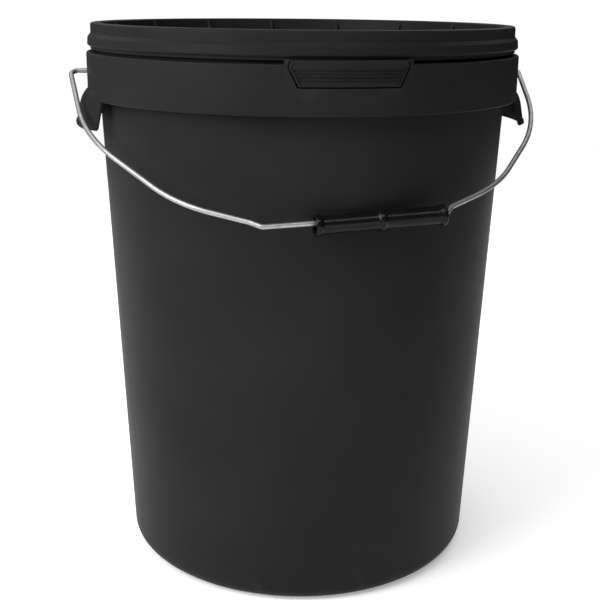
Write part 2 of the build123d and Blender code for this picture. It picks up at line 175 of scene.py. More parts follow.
# Bail wire: corners in the bail's own plane, as (across, away from the pivots, bend radius)
WIRE_RADIUS = 2.0
BAIL_REST = 61.5
BAIL_CORNERS = [
    (-196.2, 0.0, 6.0),
    (-185.5, 93.0, 132.0),
    (-122.0, 177.0, 215.0),
    (-70.5, 200.0, 6.0),
    (-62.5, 205.4, 6.0),
    (78.0, 196.3, 4.0),
    (83.5, 188.8, 4.0),
    (129.0, 163.6, 225.0),
    (187.2, 83.5, 165.0),
    (196.2, 0.0, 6.0),
]
WIRE_HEAD_X = 174.4
WIRE_HEAD_RADIUS = 3.4
WIRE_HEAD = 1.8
WIRE_STEP = 3.0

# Grip
GRIP_LENGTH = 101.5
GRIP_RADIUS = 7.0
GRIP_FLANGE = 8.3
GRIP_BEAD = 8.4
GRIP_BORE = 4.2
GRIP_RECESS_RADIUS = 6.0
GRIP_RECESS = 5.0

# Camera: where the eye stands and how it is turned
CAMERA_AT = (-0.1741, -0.9129, 0.4881)
CAMERA_PITCH = -16.18
CAMERA_ROLL = 0.59
LENS = 63.2
SENSOR = 36.0

# Studio
FLOOR_RADIUS = 2000.0
FLOOR_SEGMENTS = 128
ROOM = (-1.0, 0.2, 0.2, 0.0)

# Soft lights in metres and watts: place, point aimed at, size and power
LIGHTS = {
    "key": ((-0.95, -0.55, 0.85), (0, 0, 0.42), (0.7, 0.7), 12.5),
    "front": ((0.25, -1.4, 0.14), (0, 0, 0.05), (0.5, 0.2), 1.6),
    "high": ((-0.9, -1.5, 1.6), (0, 0, 0.4), (0.5, 0.5), 2),
    "top": ((-0.2, -0.9, 1.7), (0, -0.15, 0.3), (2.2, 0.25), 13),
    "back": ((0.25, 1.4, 1.5), (0.25, 1.4, 0), (3.6, 2.6), 42),
}

TURN = 2 * pi
EASE = 0.3
SMOOTH_ANGLE = radians(38)


# ---------------------------------------------------------------- outlines


def corner_arc(before, here, after, radius, steps):
    """Points of the arc that rounds the corner here, or the corner itself if it is straight."""
    before, here, after = Vector(before), Vector(here), Vector(after)
    back, ahead = before - here, after - here
    half = back.angle(ahead) / 2
    if radius <= 0 or half > pi / 2 - 0.01:
        return [here]
    reach = min(radius / tan(half), 0.48 * back.length, 0.48 * ahead.length)
    radius = reach * tan(half)
    centre = here + (back.normalized() + ahead.normalized()).normalized() * radius / sin(half)
    start = here + back.normalized() * reach - centre
    end = here + ahead.normalized() * reach - centre
    sweep = start.angle(end)
    points = []
    for step in range(steps + 1):
        share = step / steps
        blend = (start * sin((1 - share) * sweep) + end * sin(share * sweep)) / sin(sweep)
        points.append(centre + blend)
    return points


def rounded(corners, steps=5, closed=True):
    """Outline through (x, y) or (x, y, radius) corners; one without a radius is eased a little."""
    points = []
    last = len(corners) - 1
    for index, corner in enumerate(corners):
        radius = corner[2] if len(corner) > 2 else EASE
        if not closed and index in (0, last):
            radius = 0
        before = corners[index - 1][:2]
        after = corners[(index + 1) % len(corners)][:2]
        points += corner_arc(before, corner[:2], after, radius, steps)
    return points


def soft_max(a, b, width):
    """The larger of two, with the change between them rounded over about width."""
    return (a + b + np.sqrt((a - b) ** 2 + width ** 2)) / 2


def soft_min(a, b, width):
    """The smaller of two, with the change between them rounded over about width."""
    return -soft_max(-a, -b, width)


def wall_radius(z):
    """Outer radius of the tapered wall at height z."""
    return BASE_RADIUS + z * tan(radians(DRAFT))


# ---------------------------------------------------------------- meshes


def mesh_object(name, points, faces):
    """Object from points in millimetres, with doubled points merged and its normals outward."""
    mesh = bpy.data.meshes.new(name)
    mesh.from_pydata([tuple(c * MM for c in p) for p in points], [], faces)
    work = bmesh.new()
    work.from_mesh(mesh)
    bmesh.ops.remove_doubles(work, verts=work.verts, dist=1e-7)
    bmesh.ops.recalc_face_normals(work, faces=work.faces)
    work.to_mesh(mesh)
    work.free()
    made = bpy.data.objects.new(name, mesh)
    bpy.context.scene.collection.objects.link(made)
    return made


def grid_faces(columns, rows, wrap_columns, wrap_rows):
    """Quads of a grid whose point number is column * rows + row."""
    faces = []
    for i in range(columns if wrap_columns else columns - 1):
        a, b = i * rows, (i + 1) % columns * rows
        for j in range(rows if wrap_rows else rows - 1):
            k = (j + 1) % rows
            faces.append((a + j, b + j, b + k, a + k))
    return faces


def lathe(name, outline, segments, place=Matrix.Identity(4)):
    """Solid of revolution about local Z from a closed (r, z) outline."""
    points = []
    for index in range(segments):
        turn = TURN * index / segments
        points += [place @ Vector((r * cos(turn), r * sin(turn), z)) for r, z in outline]
    faces = grid_faces(segments, len(outline), True, True)
    faces = [face for face in faces if not on_axis(face, outline)]
    return mesh_object(name, points, faces)


def on_axis(face, outline):
    """True for a quad that has both its outline points on the axis."""
    rows = {number % len(outline) for number in face}
    return all(outline[row][0] < 1e-9 for row in rows)


def plate(name, outline, angle, thickness):
    """Upright radial plate from an (r, z) outline, with its edges eased."""
    centre = sum((Vector(p) for p in outline), Vector((0, 0))) / len(outline)
    size = max((Vector(p) - centre).length for p in outline)
    inset = 1 - 2 * EASE / size
    half = thickness / 2
    layers = [(-half, inset), (EASE - half, 1), (half - EASE, 1), (half, inset)]
    turn = Matrix.Rotation(radians(angle), 4, "Z")
    points = []
    for across, scale in layers:
        for p in outline:
            r, z = centre + (Vector(p) - centre) * scale
            points.append(turn @ Vector((r, across, z)))
    count = len(outline)
    faces = grid_faces(len(layers), count, False, True)
    faces.append(tuple(range(count)))
    faces.append(tuple(range(3 * count, 4 * count)))
    return mesh_object(name, points, faces)


def join(name, pieces):
    """One object from several closed meshes."""
    work = bmesh.new()
    for piece in pieces:
        work.from_mesh(piece.data)
    mesh = bpy.data.meshes.new(name)
    work.to_mesh(mesh)
    work.free()
    for piece in pieces:
        bpy.data.objects.remove(piece)
    made = bpy.data.objects.new(name, mesh)
    bpy.context.scene.collection.objects.link(made)
    return made


def combine(target, tool, operation):
    """Add, cut or intersect target with tool, which is used up."""
    boolean = target.modifiers.new("combine", "BOOLEAN")
    boolean.object = tool
    boolean.operation = operation
    boolean.solver = "MANIFOLD"
    seen = target.evaluated_get(bpy.context.evaluated_depsgraph_get())
    mesh = bpy.data.meshes.new_from_object(seen)
    target.modifiers.clear()
    target.data = mesh
    bpy.data.objects.remove(tool)
    return target


def finish_piece(piece, body, slot, material, *nodes):
    """Smooth shading with sharp edges, a material, and the piece's place in the frame."""
    piece.data.shade_smooth()
    piece.data.set_sharp_from_angle(angle=SMOOTH_ANGLE)
    piece.data.materials.clear()
    piece.data.materials.append(material)
    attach(piece, body)
    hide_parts(*nodes)
    return piece


# ---------------------------------------------------------------- pail


def pail_wall():
    """Wall, base and rim in one turned outline."""
    rim = wall_radius(COLLAR_TOP)
    bead_bottom = RIM_TOP - 5.3
    inside = rim - WALL
    foot_inside = wall_radius(BASE_INSIDE) - WALL
    corners = [
        (0, FOOT_RECESS, 0),
        (FOOT_RADIUS - FOOT_RECESS, FOOT_RECESS, 1.0),
        (FOOT_RADIUS, 0, 0.8),
        (BASE_RADIUS, 0, BASE_CORNER),
        (rim, COLLAR_TOP, 0),
        (rim, bead_bottom - 2, 0.5),
        (RIM_RADIUS, bead_bottom, 0.4),
        (RIM_RADIUS, RIM_TOP, 1.2),
        (inside, RIM_TOP, 0.8),
        (inside, COLLAR_TOP, 0),
        (foot_inside, BASE_INSIDE, BASE_CORNER - 3),
        (0, BASE_INSIDE, 0),
    ]
    return lathe("pail_wall", rounded(corners, 10), PART_SEGMENTS)


def base_ribs():
    """Radial ribs and a centre ring under the base."""
    low, high = BASE_RIB_BOTTOM, FOOT_RECESS + 0.5
    near = BASE_RING_RADIUS - BASE_RING_WIDTH / 2
    far = BASE_RING_RADIUS + BASE_RING_WIDTH / 2
    ring = rounded([(near, low), (far, low), (far, high), (near, high)], 2)
    pieces = [lathe("base_ring", ring, 96)]
    outer = FOOT_RADIUS - FOOT_RECESS
    outline = [(BASE_RING_RADIUS, low), (outer, low), (outer, high), (BASE_RING_RADIUS, high)]
    for index in range(BASE_RIB_COUNT):
        pieces.append(plate("base_rib", outline, index * 360 / BASE_RIB_COUNT, RIB_THICKNESS))
    return pieces


def flare_line():
    """(r, z) points down the lug's outer face, from the collar's face to the lip."""
    start = Vector((LUG_ROOT_RADIUS, LUG_TOP))
    shoulder = circle_through(start, Vector(LUG_SHOULDER), Vector(LUG_FACE_TOP))
    face = [
        LUG_FACE_TOP,
        (LUG_FOOT_RADIUS, LUG_FACE_BOTTOM, 1.5),
        (LUG_LIP_RADIUS, LUG_LIP_TOP, 1.0),
        (LUG_LIP_RADIUS, LUG_BOTTOM),
    ]
    return shoulder + rounded(face, 6, closed=False)[1:]


def circle_through(start, middle, end):
    """Points along the circle's arc from start through middle to end."""
    a, b = middle - start, end - start
    cross = 2 * (a.x * b.y - a.y * b.x)
    centre = start + Vector((
        (b.y * a.length_squared - a.y * b.length_squared) / cross,
        (a.x * b.length_squared - b.x * a.length_squared) / cross,
    ))
    first = atan2(start.y - centre.y, start.x - centre.x)
    last = atan2(end.y - centre.y, end.x - centre.x)
    radius = (start - centre).length
    turns = np.linspace(first, last, 24)
    return [centre + radius * Vector((cos(t), sin(t))) for t in turns]


def facet_plane():
    """Normal and offset of the plane that slants the lug's end, on its +angle side."""

    def at(radius, angle, z):
        turn = radians(angle)
        return Vector((radius * cos(turn), radius * sin(turn), z))

    edge_top = at(COLLAR_RADIUS, LUG_HALF_ANGLE, COLLAR_BOTTOM)
    edge_low = at(COLLAR_RADIUS + LUG_EDGE_FLARE, LUG_HALF_ANGLE, LUG_BOTTOM)
    face_low = at(LUG_FOOT_RADIUS, LUG_FACE_ANGLE, LUG_BOTTOM)
    normal = (edge_low - edge_top).cross(face_low - edge_top).normalized()
    return normal, normal.dot(edge_top)


FLARE = sorted((p.y, p.x) for p in flare_line())
FLARE_Z = np.array([z for z, _ in FLARE])
FLARE_R = np.array([r for _, r in FLARE])
FACET_NORMAL, FACET_OFFSET = facet_plane()


def facet_radius(angle, z):
    """Radius at which a ray from the axis meets the lug's slanted end."""
    turn = np.radians(np.abs(angle))
    across = FACET_NORMAL.x * np.cos(turn) + FACET_NORMAL.y * np.sin(turn)
    return (FACET_OFFSET - FACET_NORMAL.z * z) / across


def skirt_outer(angle, z):
    """Outer radius of the collar's skirt at an angle from the lug's middle."""
    face = np.interp(z, FLARE_Z, FLARE_R)
    lug = soft_min(face, facet_radius(angle, z), 1.2)
    return np.where(np.abs(angle) < LUG_REACH_ANGLE, soft_max(COLLAR_RADIUS, lug, 0.5), COLLAR_RADIUS)


def skirt_inner(angle, z):
    """Inner radius of the skirt: a wall inside the outer face, and smooth behind the lip."""
    face = np.minimum(np.interp(z, FLARE_Z, FLARE_R), LUG_FOOT_RADIUS)
    lug = soft_min(face, facet_radius(angle, z), 1.2) - LUG_WALL
    inside = COLLAR_RADIUS - COLLAR_WALL
    return np.where(np.abs(angle) < LUG_REACH_ANGLE, soft_max(inside, lug, 0.5), inside)


def lug_side():
    """Columns from a lug's middle to a quarter turn: (angle above, angle and height at the foot)."""
    columns = [(a, a, LUG_BOTTOM) for a in np.arange(0, LUG_FAN_ANGLE, 0.5)]
    per_degree = radians(LUG_FOOT_RADIUS)
    corner = [
        (LUG_FAN_ANGLE * per_degree, LUG_BOTTOM),
        (LUG_HALF_ANGLE * per_degree, LUG_BOTTOM, 2.0),
        (LUG_HALF_ANGLE * per_degree, COLLAR_BOTTOM),
    ]
    edge = np.array([tuple(p) for p in rounded(corner, 8, closed=False)])
    run = np.concatenate([[0], np.cumsum(np.hypot(*np.diff(edge, axis=0).T))])
    for share in np.linspace(0, 1, 40):
        foot = np.interp(share * run[-1], run, edge[:, 0]) / per_degree
        height = np.interp(share * run[-1], run, edge[:, 1])
        above = LUG_FAN_ANGLE + share * (LUG_HALF_ANGLE - LUG_FAN_ANGLE)
        columns.append((above, foot, height))
    columns += [(a, a, COLLAR_BOTTOM) for a in (19.35, 19.7, 20.3)]
    columns += [(a, a, COLLAR_BOTTOM) for a in range(21, 91)]
    return columns


def skirt_columns():
    """All columns of a half turn, from -90 to 90 degrees about a lug."""
    side = lug_side()
    mirrored = [(-above, -foot, height) for above, foot, height in reversed(side[1:-1])]
    return mirrored + side


def skirt_column(above, foot, height, turn):
    """One closed loop of points: down the outer face, round the edge and up the inner face."""
    per_degree = radians(LUG_FOOT_RADIUS)
    down = Vector(((foot - above) * per_degree, height - LUG_TOP))
    reach = down.length
    down.normalize()
    edge = LUG_EDGE
    over = [(COLLAR_ROOT, COLLAR_TOP), (COLLAR_RADIUS, COLLAR_TOP, 1.4), (COLLAR_RADIUS, LUG_TOP)]
    outer_top = rounded(over, 6, closed=False)
    inside = COLLAR_RADIUS - COLLAR_WALL
    under = COLLAR_TOP - COLLAR_WALL
    inner_top = rounded([(inside, LUG_TOP), (inside, under, 1.0), (COLLAR_ROOT, under)], 3, closed=False)
    runs = np.linspace(0, reach - edge, 44)[1:]
    bends = np.linspace(0, pi / 2, 5)

    def place(run):
        return above + down.x * run / per_degree, LUG_TOP + down.y * run

    loop = [(above, r, z) for r, z in outer_top]
    for run in runs:
        angle, z = place(run)
        loop.append((angle, skirt_outer(angle, z), z))
    for bend in bends[1:]:
        angle, z = place(reach - edge + edge * sin(bend))
        loop.append((angle, skirt_outer(angle, z) - edge * (1 - cos(bend)), z))
    for bend in bends[::-1]:
        angle, z = place(reach - edge + edge * sin(bend))
        loop.append((angle, skirt_inner(angle, z) + edge * (1 - cos(bend)), z))
    for run in runs[::-1][1:]:
        angle, z = place(run)
        loop.append((angle, skirt_inner(angle, z), z))
    loop += [(above, r, z) for r, z in inner_top]
    return [(r * cos(radians(a) + turn), r * sin(radians(a) + turn), z) for a, r, z in loop]


def skirt():
    """The collar with both lugs as one closed grid."""
    loops = []
    for turn in (0, pi):
        loops += [skirt_column(*column, turn) for column in skirt_columns()]
    faces = grid_faces(len(loops), len(loops[0]), True, True)
    return mesh_object("pail_collar", [p for loop in loops for p in loop], faces)


def prism(name, outline, near, far):
    """Closed prism between two distances along -Y from an (x, z) outline."""
    points = [(x, -near, z) for x, z in outline] + [(x, -far, z) for x, z in outline]
    count = len(outline)
    faces = grid_faces(2, count, False, True)
    faces.append(tuple(range(count)))
    faces.append(tuple(range(count, 2 * count)))
    return mesh_object(name, points, faces)


def tab_outline(grow, top):
    """(x, z) corners of the tab's front, grown by grow, with its slanted ends carried up to top."""
    lean = (TAB_SHOULDER_HALF - TAB_TOP_HALF) / (TAB_TOP - TAB_SHOULDER)
    top_half = TAB_TOP_HALF - lean * (top - TAB_TOP) + grow
    low = TAB_BOTTOM - grow
    half = [
        (TAB_BOTTOM_HALF + grow, low, TAB_CORNER),
        (TAB_SHOULDER_HALF + grow, TAB_SHOULDER, TAB_CORNER),
        (top_half, top, TAB_CORNER),
    ]
    return half + [(-x, z, radius) for x, z, radius in reversed(half)]


def tab_posts():
    """Upstand at the collar's top edge, from which the window leaves a post at each tab end."""
    outer = COLLAR_RADIUS + 0.2
    low, high = COLLAR_TOP - 1, COLLAR_HIGH.z
    outline = rounded([(outer - 2, low), (outer, low), (outer, high, 0.6), (outer - 2, high, 0.6)], 4)
    points = []
    turns = np.radians(np.linspace(-90 - POST_HALF_ANGLE, -90 + POST_HALF_ANGLE, 31))
    for turn in turns:
        points += [(r * cos(turn), r * sin(turn), z) for r, z in outline]
    count = len(outline)
    faces = grid_faces(len(turns), count, False, True)
    faces.append(tuple(range(count)))
    faces.append(tuple(range((len(turns) - 1) * count, len(turns) * count)))
    return mesh_object("tab_posts", points, faces)


def cut_window(collar):
    """Open the collar where the tab sits."""
    ring = [(179.0, 420.0), (190.0, 420.0), (190.0, 450.0), (179.0, 450.0)]
    window = lathe("window", [Vector(p) for p in ring], 720)
    window = combine(window, prism("front", rounded(tab_outline(TAB_GAP, 449.0)), 150, 210), "INTERSECT")
    return combine(collar, window, "DIFFERENCE")


def sideways(x):
    """Place for a turned shape whose axis runs along X through the pivots."""
    return Matrix.Translation((x, 0, PIVOT_Z)) @ Matrix.Rotation(pi / 2, 4, "Y")


def cut_pivots(collar):
    """Drill the two holes that the wire passes through."""
    hole = [(0, -20), (PIVOT_HOLE, -20), (PIVOT_HOLE, 20), (0, 20)]
    for x in (-190, 190):
        drill = lathe("drill", [Vector(p) for p in hole], 48, sideways(x))
        combine(collar, drill, "DIFFERENCE")
    return collar


def pivot_boss(side):
    """Ring round a pivot hole, inside the collar."""
    corners = [
        (PIVOT_HOLE, 0),
        (PIVOT_BOSS_RADIUS, 0, 0.6),
        (PIVOT_BOSS_RADIUS, PIVOT_BOSS_LENGTH),
        (PIVOT_HOLE, PIVOT_BOSS_LENGTH),
    ]
    place = sideways(PIVOT_BOSS_X)
    if side < 0:
        place = Matrix.Rotation(pi, 4, "Z") @ place
    return lathe("pivot_boss", rounded(corners, 4), 64, place)


def hidden_ribs():
    """Upright ribs between the wall and the skirt, and the webs inside each lug."""
    low, high = COLLAR_BOTTOM + 3, COLLAR_TOP - 1
    middle = COLLAR_RADIUS - 1
    rib = [(wall_radius(low) - 0.6, low), (middle, low), (middle, high), (wall_radius(high) - 0.6, high)]
    pieces = [plate("collar_rib", rib, angle - 90, RIB_THICKNESS) for angle in RIB_ANGLES]
    web = [
        (wall_radius(WEB_WALL_BOTTOM) - 0.6, WEB_WALL_BOTTOM),
        (WEB_RADIUS, WEB_FOOT),
        (WEB_RADIUS, 399.0),
        (middle, 408.0),
        (middle, high),
        (wall_radius(high) - 0.6, high),
    ]
    for angle in WEB_ANGLES:
        pieces.append(plate("lug_web", web, angle, WEB_THICKNESS))
    return pieces


def make_pail(material):
    """Pail and collar."""
    pail = join("pail_body", [pail_wall()] + base_ribs())
    finish_piece(pail, "pail", "pail_plastic", material, "pail")
    collar = combine(skirt(), tab_posts(), "UNION")
    collar = cut_pivots(cut_window(collar))
    collar = join("pail_collar_moulding", [collar, pivot_boss(1), pivot_boss(-1)] + hidden_ribs())
    finish_piece(collar, "pail", "pail_plastic", material, "pail_collar")


# ---------------------------------------------------------------- tear tab


def tab_half(z):
    """Half width of the tab at height z."""
    levels = [TAB_BOTTOM, TAB_SHOULDER, TAB_TOP]
    return np.interp(z, levels, [TAB_BOTTOM_HALF, TAB_SHOULDER_HALF, TAB_TOP_HALF])


def tab_face(x, z):
    """Radius of the tab's front: lip above, grooved face, swell below, scored line at the ends."""
    levels = [TAB_BOTTOM, TAB_BOTTOM + TAB_SWELL, TAB_SHOULDER, TAB_TOP - 0.6, TAB_TOP]
    lip = [TAB_LIP_RADIUS, TAB_LIP_RADIUS - 0.5]
    radii = [TAB_FOOT_RADIUS, TAB_SWELL_RADIUS, TAB_SHOULDER_RADIUS] + lip
    radius = np.interp(z, levels, radii)
    end = tab_half(z) - np.abs(x)
    inside = np.clip((end - TAB_SCORE_IN - TAB_SCORE_HALF) / 0.3, 0, 1)
    for height, size in TAB_GROOVES:
        radius = radius - inside * np.sqrt(np.clip(size ** 2 - (z - height) ** 2, 0, None))
    score = np.clip(1 - np.abs(end - TAB_SCORE_IN) / TAB_SCORE_HALF, 0, 1)
    scored = (z > TAB_BOTTOM + 1.0) & (z < TAB_SHOULDER)
    return radius - TAB_SCORE * score * scored


def tab_columns(half):
    """Arrays of x up the tab, one for each column: close together near the slanted ends."""
    near = np.arange(0, 4.01, 0.15)
    inner = 4.2
    left = [-half + offset for offset in near]
    middle = [share * (half - inner) for share in np.linspace(-1, 1, 70)]
    return left + middle + [-x for x in reversed(left)]


def on_curve(x, radius, z):
    """Points in front of the axis at a distance radius from it."""
    return list(zip(x, -np.sqrt(radius ** 2 - x ** 2), z))


def make_tab(material):
    """Tear tab as a closed grid, bent to the collar's curve."""
    z = np.linspace(TAB_BOTTOM, TAB_TOP, 112)
    half = tab_half(z)
    columns = tab_columns(half)
    points = []
    for x in columns:
        to_edge = np.minimum(np.minimum(half - np.abs(x), z - TAB_BOTTOM), TAB_TOP - z)
        bend = np.clip(1 - to_edge / TAB_EDGE, 0, 1)
        front = tab_face(x, z) - TAB_EDGE * (1 - np.sqrt(1 - bend ** 2))
        points += on_curve(x, front, z) + on_curve(x, TAB_INNER_RADIUS, z)[::-1]
    rows = 2 * len(z)
    faces = grid_faces(len(columns), rows, False, True)
    for start in (0, (len(columns) - 1) * rows):
        last = start + rows - 1
        faces += [(start + j, start + j + 1, last - 1 - j, last - j) for j in range(len(z) - 1)]
    tab = mesh_object("tear_tab_moulding", points, faces)
    finish_piece(tab, "tear_tab", "pail_plastic", material, "tear_tab")


# ---------------------------------------------------------------- lid


def lid_outline():
    """Closed (r, z) outline of the lid."""
    panel_under = LID_PANEL - LID_WALL
    plateau_under = LID_PLATEAU - LID_WALL
    slope = LID_PLATEAU_RADIUS - PLATEAU_SLOPE
    skirt_bottom = LID_LOW.z
    corners = [
        (0, LID_PLATEAU, 0),
        (slope, LID_PLATEAU, 1.5),
        (LID_PLATEAU_RADIUS, LID_PANEL, 1.5),
        (RECESS_FOOT_RADIUS, LID_PANEL, 2.0),
        (RECESS_TOP_RADIUS, LID_TOP, 1.6),
        (LID_RADIUS, LID_TOP, 1.8),
        (LID_RADIUS, LID_STEP, 0.5),
        (LID_BAND_RADIUS - 0.5, LID_STEP - 3.1, 1.4),
        (LID_BAND_RADIUS, LID_BAND_BOTTOM + 1.2, 0.8),
        (LID_BAND_RADIUS - 1.1, LID_BAND_BOTTOM, 0.5),
        (LID_RADIUS + 0.5, LID_BAND_BOTTOM, 0.3),
        (LID_RADIUS + 0.5, skirt_bottom, 0.5),
        (LID_RADIUS - 1.3, skirt_bottom, 0.5),
        (LID_RADIUS - 1.3, LID_BAND_BOTTOM + 0.8),
        (LID_BAND_RADIUS - 2.2, LID_BAND_BOTTOM + 2.4),
        (LID_BAND_RADIUS - 2.2, LID_STEP - 4.0),
        (LID_RADIUS - 1.8, LID_STEP - 0.8),
        (LID_RADIUS - 1.8, CHANNEL_TOP),
        (PLUG_TOP_RADIUS, CHANNEL_TOP),
        (PLUG_FOOT_RADIUS, panel_under, 3.5),
        (LID_PLATEAU_RADIUS - 1.2, panel_under, 1.0),
        (slope - 1.2, plateau_under, 1.0),
        (0, plateau_under, 0),
    ]
    return rounded(corners, 8)


def lid_gusset():
    """(r, z) outline of one gusset in the corner of the recess."""
    top = LID_TOP - 1.8
    corners = [
        (169.8, LID_PANEL - 1),
        (170.3, top),
        (168.8, top, 0.5),
        (GUSSET_REACH, LID_PANEL + 1.5, 1.0),
        (GUSSET_REACH, LID_PANEL - 1),
    ]
    return rounded(corners, 4)


def make_lid(material):
    """Lid with its gussets and airlock hole."""
    lid = lathe("lid", lid_outline(), PART_SEGMENTS)
    low, high = LID_PANEL - 6.6, LID_PLATEAU + 4.4
    hole = [(0, low), (GROMMET_HOLE, low), (GROMMET_HOLE, high), (0, high)]
    drill = lathe("drill", [Vector(p) for p in hole], 96, Matrix.Translation((0, GROMMET_Y, 0)))
    combine(lid, drill, "DIFFERENCE")
    angles = [90 + index * 360 / LID_GUSSETS for index in range(LID_GUSSETS)]
    gussets = [plate("gusset", lid_gusset(), angle, GUSSET_THICKNESS) for angle in angles]
    lid = join("lid_moulding", [lid] + gussets)
    finish_piece(lid, "lid", "lid_plastic", material, "lid")


def make_grommet(material):
    """Rubber grommet, lipped on both sides of the panel."""
    under, top = GROMMET_LOW.z, GROMMET_HIGH.z
    corners = [
        (GROMMET_BORE, under, 0.4),
        (GROMMET_FLANGE - 1, under, 0.8),
        (GROMMET_FLANGE - 1, LID_PLATEAU - LID_WALL, 0.3),
        (GROMMET_HOLE, LID_PLATEAU - LID_WALL, 0),
        (GROMMET_HOLE, LID_PLATEAU, 0),
        (GROMMET_FLANGE, LID_PLATEAU, 0.3),
        (GROMMET_FLANGE, top, 0.9),
        (GROMMET_BORE, top, 0.5),
    ]
    grommet = lathe("grommet_rubber_ring", rounded(corners, 6), 96, Matrix.Translation((0, GROMMET_Y, 0)))
    finish_piece(grommet, "lid", "grommet_rubber", material, "airlock_grommet")


# ---------------------------------------------------------------- bail and grip


def bail_matrix():
    """Place of the bail's own plane at rest: X across, Y away from the pivots, Z out of it."""
    lean = radians(BAIL_REST)
    away = Vector((0, -sin(lean), -cos(lean)))
    out = Vector((1, 0, 0)).cross(away)
    turn = Matrix((Vector((1, 0, 0)), away, out)).transposed().to_4x4()
    return Matrix.Translation((0, 0, PIVOT_Z)) @ turn


def wire_line():
    """Points along the middle of the wire, in the bail's plane."""
    corners = [(-WIRE_HEAD_X, 0)] + BAIL_CORNERS + [(WIRE_HEAD_X, 0)]
    line = rounded(corners, 28, closed=False)
    points = [line[0]]
    for point in line[1:]:
        start = points[-1]
        pieces = max(1, int((point - start).length / WIRE_STEP))
        points += [start.lerp(point, (k + 1) / pieces) for k in range(pieces)]
    return points


def tube(name, line, radius, sides, place):
    """Round tube along a flat line, with closed ends."""
    points = []
    for index, here in enumerate(line):
        before, after = line[max(index - 1, 0)], line[min(index + 1, len(line) - 1)]
        along = (after - before).normalized()
        side = Vector((-along.y, along.x, 0))
        middle = Vector((here.x, here.y, 0))
        for k in range(sides):
            turn = TURN * k / sides
            points.append(place @ (middle + radius * (side * cos(turn) + Vector((0, 0, sin(turn))))))
    faces = grid_faces(len(line), sides, False, True)
    faces.append(tuple(range(sides)))
    faces.append(tuple(range((len(line) - 1) * sides, len(line) * sides)))
    return mesh_object(name, points, faces)


def make_wire(material):
    """Bail wire with an upset head inside the collar at each end."""
    pieces = [tube("wire", wire_line(), WIRE_RADIUS, 32, bail_matrix())]
    corners = [
        (0, 0, 0),
        (WIRE_HEAD_RADIUS, 0, 0.5),
        (WIRE_HEAD_RADIUS, WIRE_HEAD, 0.5),
        (0, WIRE_HEAD, 0),
    ]
    head = rounded(corners, 4)
    for x in (WIRE_HEAD_X, -WIRE_HEAD_X - WIRE_HEAD):
        pieces.append(lathe("wire_head", head, 48, sideways(x)))
    wire = join("bail_wire_bent", pieces)
    finish_piece(wire, "bail", "galvanised_wire", material, "bail_wire")


def grip_outline():
    """Closed (r, z) outline of the sleeve about its own axis."""
    half = GRIP_LENGTH / 2
    neck = half - 3.2
    upper = [
        (GRIP_BEAD, 1.6, 1.4),
        (GRIP_RADIUS, 3.4, 1.2),
        (GRIP_RADIUS, neck - 2.2, 2.5),
        (GRIP_FLANGE, neck, 1.6),
        (GRIP_FLANGE, half, 1.0),
        (GRIP_RECESS_RADIUS, half, 0.5),
        (GRIP_RECESS_RADIUS, half - GRIP_RECESS, 0.4),
        (GRIP_BORE, half - GRIP_RECESS, 0.3),
    ]
    lower = [(r, -z, radius) for r, z, radius in reversed(upper)]
    return rounded(lower + upper, 6)


def grip_matrix():
    """Place of the sleeve: local Z along the wire, through the grip's centre."""
    turn = GRIP_AXIS.to_track_quat("Z", "X").to_matrix().to_4x4()
    return Matrix.Translation(GRIP_CENTRE) @ turn


def make_grip(material):
    """Grip sleeve, open at both ends."""
    grip = lathe("bail_grip_sleeve", grip_outline(), 128, grip_matrix())
    finish_piece(grip, "grip", "grip_plastic", material, "bail_grip")


# ---------------------------------------------------------------- materials


RANGE_SOCKETS = ("From Min", "From Max", "To Min", "To Max")


